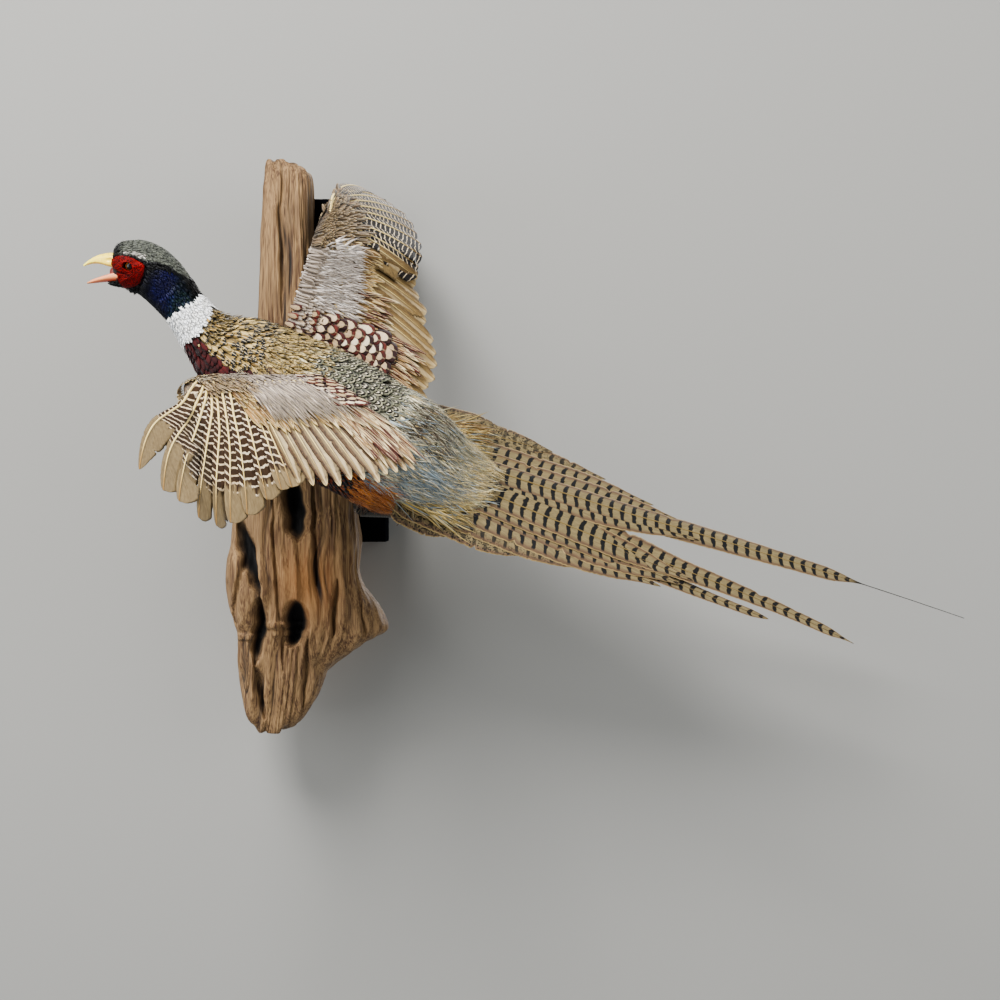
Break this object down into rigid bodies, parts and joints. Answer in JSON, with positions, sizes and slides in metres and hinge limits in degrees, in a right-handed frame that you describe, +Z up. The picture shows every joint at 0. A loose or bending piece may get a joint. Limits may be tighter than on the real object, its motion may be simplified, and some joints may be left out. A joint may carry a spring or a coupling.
{
  "type": "taxidermy ring-necked pheasant on a driftwood wall mount",
  "caption": "Still, life-size mounted pheasant cock in banking flight, wings spread, held by a rod on a driftwood panel that hangs flat on a wall.",
  "frame": {"origin": "middle of the hanger block's flat rear face, which lies against the wall", "axes": "+Y into the wall, +Z up along the wall, +X along the wall towards the bird's tail; the bird stands out from the wall towards -Y"},
  "size_m": [0.8076, 0.4349, 0.56],
  "materials": {
    "black_board": "flat black painted board",
    "driftwood": "weathered bare wood, warm brown with dark crevices",
    "steel_rod": "satin steel",
    "dark_plumage": "iridescent blue-green, violet and black feathers",
    "gold_plumage": "gold, cream and chestnut scaled feathers",
    "grey_plumage": "soft grey-green hair-like feathers",
    "wing_feather": "brown flight feathers with pale slanting bars",
    "tail_feather": "olive-buff feathers with paired black bars",
    "bare_skin": "red papillate bare skin",
    "bill_horn": "smooth pale yellow horn",
    "eye_glass": "brown glass eye",
    "leg_scale": "grey scaled skin"
  },
  "bodies": {
    "root": {"hanger_block": "black_board", "driftwood": "driftwood", "mounting_rod": "steel_rod", "head": "dark_plumage", "neck": "dark_plumage", "trunk": "gold_plumage", "rump": "grey_plumage", "upper_bill": "bill_horn", "lower_bill": "bill_horn", "left_eye": "eye_glass", "left_wattle": "bare_skin", "left_hand": "wing_feather", "left_forearm": "wing_feather", "left_primaries": "wing_feather", "left_secondaries": "wing_feather", "left_scapulars": "gold_plumage", "left_thigh": "dark_plumage", "left_shank": "leg_scale", "left_foot": "leg_scale", "right_eye": "eye_glass", "right_wattle": "bare_skin", "right_hand": "wing_feather", "right_forearm": "wing_feather", "right_primaries": "wing_feather", "right_secondaries": "wing_feather", "right_scapulars": "gold_plumage", "right_thigh": "dark_plumage", "right_shank": "leg_scale", "right_foot": "leg_scale", "tail_fan": "tail_feather", "tail_streamer_right": "tail_feather", "tail_streamer_left": "tail_feather", "tail_streamer_outer": "tail_feather"}
  },
  "joints": []
}
